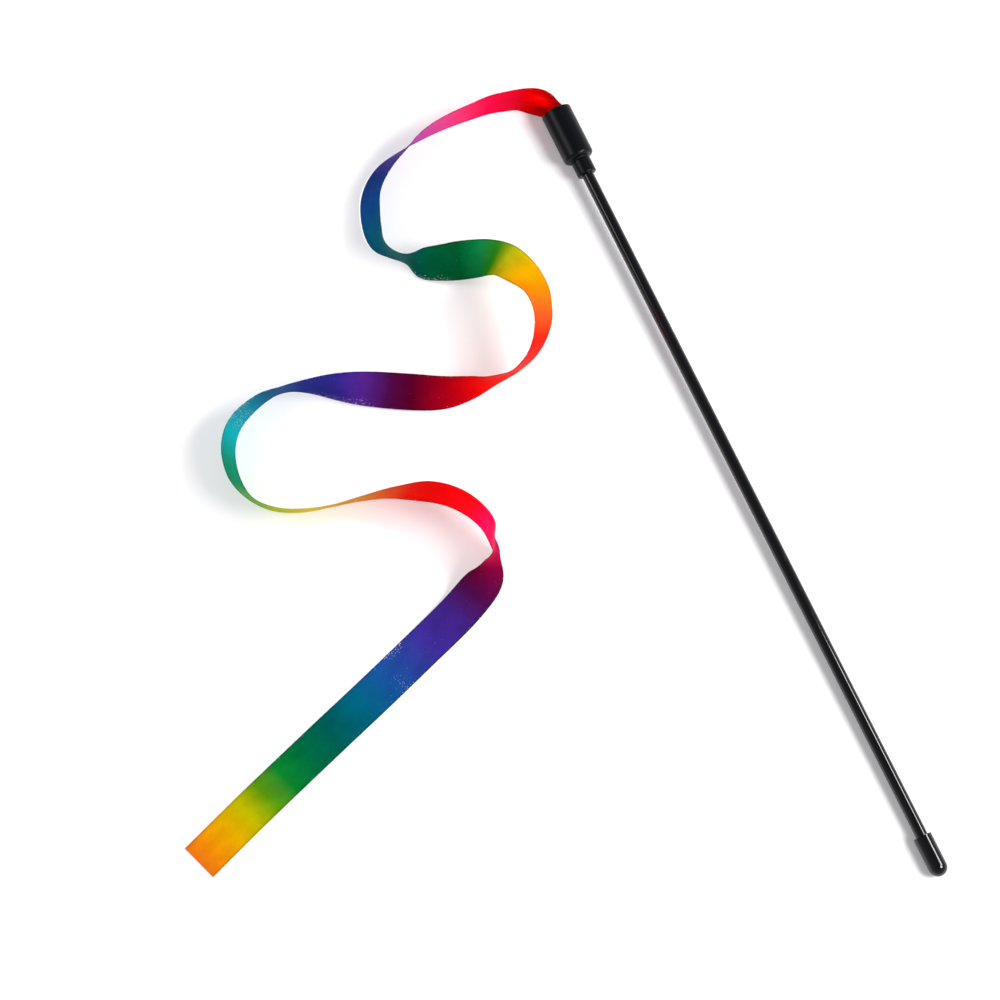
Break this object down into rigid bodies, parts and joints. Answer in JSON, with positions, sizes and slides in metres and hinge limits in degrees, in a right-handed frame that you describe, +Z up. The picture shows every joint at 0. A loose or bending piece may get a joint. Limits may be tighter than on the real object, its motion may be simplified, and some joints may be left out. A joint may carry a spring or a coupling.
{
  "type": "rhythmic ribbon wand",
  "caption": "Slim round rod with a ball-ended tip cap and a swivelling cup-shaped head, from which a rainbow satin ribbon runs out in loops.",
  "frame": {"origin": "bottom centre of the whole object's box, on the surface that it lies on", "axes": "+Y along the wand from the tip cap towards the head (the axis rises 0.46 degrees towards the thicker head), +Z up, ribbon on the -X side"},
  "size_m": [0.3374, 0.4554, 0.0434],
  "materials": {
    "rod": "gloss black rod, lightly scuffed",
    "tip_cap": "glossy black vinyl",
    "collar": "satin black moulded plastic",
    "head_shell": "satin black moulded plastic",
    "washer": "black nylon",
    "retainer": "pressed steel cap",
    "ribbon_plug": "black moulded plastic",
    "ribbon_pin": "plain steel pin",
    "ribbon": "rainbow-dyed satin ribbon"
  },
  "bodies": {
    "wand": {"rod": "rod", "tip_cap": "tip_cap", "collar": "collar", "lower_washer": "washer", "upper_washer": "washer", "retainer": "retainer", "ribbon": "ribbon"},
    "head": {"head_shell": "head_shell", "ribbon_plug": "ribbon_plug", "ribbon_pin": "ribbon_pin", "ribbon_tab": "ribbon"}
  },
  "joints": [
    {"name": "head_spin", "type": "hinge", "parent": "wand", "child": "head", "pos_m": [0.1607, 0.19479, 0.0081], "axis": [0, 1, 0.008], "continuous": true}
  ]
}
